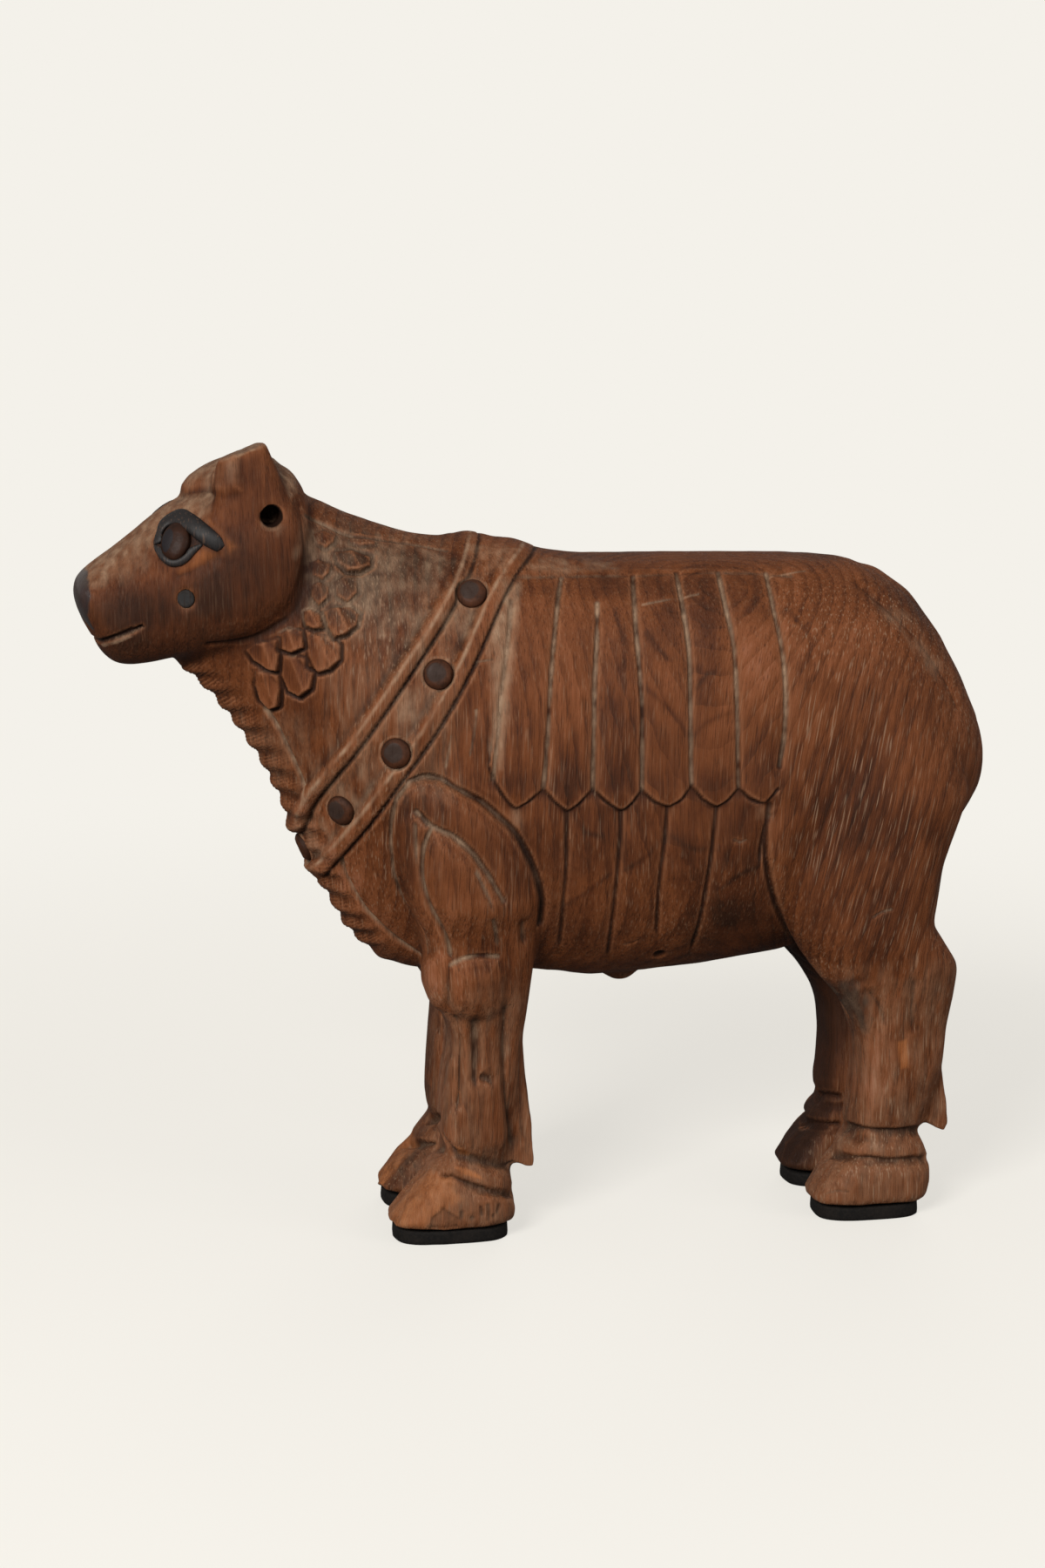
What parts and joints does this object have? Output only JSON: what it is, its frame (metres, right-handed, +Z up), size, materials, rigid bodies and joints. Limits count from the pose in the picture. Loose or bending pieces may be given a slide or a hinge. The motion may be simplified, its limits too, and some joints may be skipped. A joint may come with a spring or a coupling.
{
  "type": "bull figurine",
  "caption": "Free-standing carved wooden bull with a studded collar, inset eyes, open ear sockets, flat-cut horn stubs and rubber pads under its hooves.",
  "frame": {"origin": "middle of the figure's footprint, on the surface that it stands on", "axes": "+X from head to rump, +Y from the left flank to the right flank, +Z up"},
  "size_m": [0.368, 0.106, 0.3198],
  "materials": {
    "teak": "old hand-rubbed surface, dusty in the cuts",
    "dark_peg": "dark stained and worn to a dull sheen",
    "grey_plug": "grey and flush",
    "black_rubber": "matt"
  },
  "bodies": {
    "root": {"carved_body": "teak", "collar_stud_breast": "dark_peg", "collar_stud_left_1": "dark_peg", "collar_stud_left_2": "dark_peg", "collar_stud_left_3": "dark_peg", "collar_stud_left_4": "dark_peg", "collar_stud_right_1": "dark_peg", "collar_stud_right_2": "dark_peg", "collar_stud_right_3": "dark_peg", "collar_stud_right_4": "dark_peg", "eye_left": "dark_peg", "eye_right": "dark_peg", "cheek_plug_left": "grey_plug", "cheek_plug_right": "grey_plug", "foot_pad_front_left": "black_rubber", "foot_pad_front_right": "black_rubber", "foot_pad_hind_left": "black_rubber", "foot_pad_hind_right": "black_rubber"}
  },
  "joints": []
}
